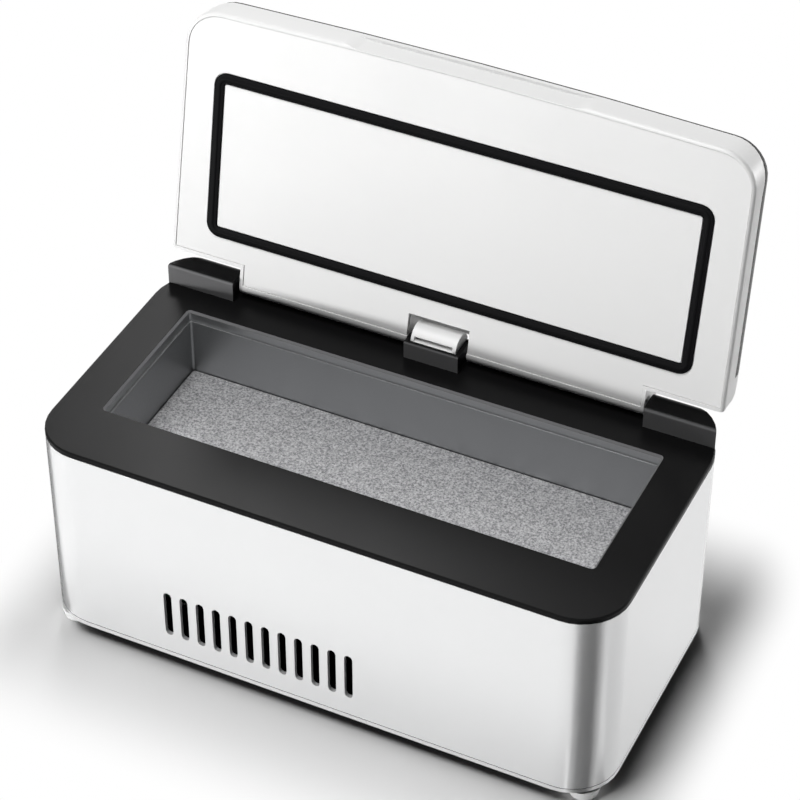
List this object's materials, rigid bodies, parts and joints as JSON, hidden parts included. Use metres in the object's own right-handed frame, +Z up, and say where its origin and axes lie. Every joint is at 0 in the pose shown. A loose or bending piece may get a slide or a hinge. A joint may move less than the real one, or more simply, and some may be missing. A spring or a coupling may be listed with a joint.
{
  "type": "insulin cooling case",
  "caption": "Portable thermoelectric insulin cooling case: rounded box with vent slots, a dark-rimmed cold compartment and a thick hinged lid with gasket, display and push buttons.",
  "frame": {"origin": "middle of the whole outline on the floor, with the lid open", "axes": "+X along the case to the right, +Y to the back, +Z up"},
  "size_m": [0.22, 0.1376, 0.1979],
  "materials": {
    "sleeve": "pale satin coat on an extruded sleeve",
    "white": "white satin moulding",
    "coated": "moulding with a pale coated edge",
    "bezel": "dark satin moulding",
    "tray": "grey anodised",
    "blasted": "bead blasted",
    "aluminium": "milled",
    "steel": "plain",
    "rubber": "black silicone",
    "foam": "closed-cell insulation foam",
    "ceramic": "white ceramic plates",
    "plastic": "black moulding",
    "cell": "wrapped cell",
    "board": "green circuit board",
    "gloss": "black satin",
    "glass": "clear window",
    "display": "dark display",
    "button": "dark grey key cap"
  },
  "bodies": {
    "case": {"base_plate": "coated", "battery_cell_1": "cell", "battery_cell_2": "cell", "battery_cell_3": "cell", "battery_cell_4": "cell", "battery_holder": "plastic", "board_screw_1": "steel", "board_screw_2": "steel", "board_screw_3": "steel", "board_screw_4": "steel", "body_sleeve": "sleeve", "cable_barrel": "white", "clamp_screw_left": "steel", "clamp_screw_right": "steel", "cold_block": "aluminium", "cold_plate": "blasted", "control_board": "board", "cooling_tray": "tray", "dc_jack": "plastic", "fan_frame": "plastic", "fan_screw_front_left": "steel", "fan_screw_front_right": "steel", "fan_screw_rear_left": "steel", "fan_screw_rear_right": "steel", "foot_front_left": "white", "foot_front_right": "white", "foot_rear_left": "white", "foot_rear_right": "white", "foot_screw_front_left": "steel", "foot_screw_front_right": "steel", "foot_screw_rear_left": "steel", "foot_screw_rear_right": "steel", "heat_sink": "aluminium", "hinge_pin_left": "steel", "hinge_pin_right": "steel", "peltier_module": "ceramic", "temperature_probe": "steel", "top_bezel": "bezel", "tray_foam": "foam", "tray_screw_1": "steel", "tray_screw_2": "steel", "tray_screw_3": "steel", "tray_screw_4": "steel"},
    "lid": {"display_module": "display", "display_window": "glass", "lid_board": "board", "lid_foam": "foam", "lid_gasket": "rubber", "lid_liner": "white", "lid_screw_left": "steel", "lid_screw_right": "steel", "lid_shell": "white", "lid_top_panel": "gloss", "tact_switch_centre": "plastic", "tact_switch_left": "plastic", "tact_switch_right": "plastic"},
    "fan": {"fan_rotor": "plastic"},
    "button_centre_key": {"button_centre": "button"},
    "button_left_key": {"button_left": "button"},
    "button_right_key": {"button_right": "button"}
  },
  "joints": [
    {"name": "lid_hinge", "type": "hinge", "parent": "case", "child": "lid", "pos_m": [0, 0.03716, 0.0938], "axis": [1, 0, 0], "range_deg": [0, 101]},
    {"name": "fan_spin", "type": "hinge", "parent": "case", "child": "fan", "pos_m": [-0.0209, -0.01384, 0.0236], "axis": [0, 0, 1], "continuous": true},
    {"name": "button_left_press", "type": "slide", "parent": "lid", "child": "button_left_key", "axis": [0, -0.9816, 0.1908], "range_m": [0, 0.0004], "stiffness_N_per_m": 2000, "springref_m": -0.0002},
    {"name": "button_centre_press", "type": "slide", "parent": "lid", "child": "button_centre_key", "axis": [0, -0.9816, 0.1908], "range_m": [0, 0.0004], "stiffness_N_per_m": 2000, "springref_m": -0.0002},
    {"name": "button_right_press", "type": "slide", "parent": "lid", "child": "button_right_key", "axis": [0, -0.9816, 0.1908], "range_m": [0, 0.0004], "stiffness_N_per_m": 2000, "springref_m": -0.0002}
  ]
}
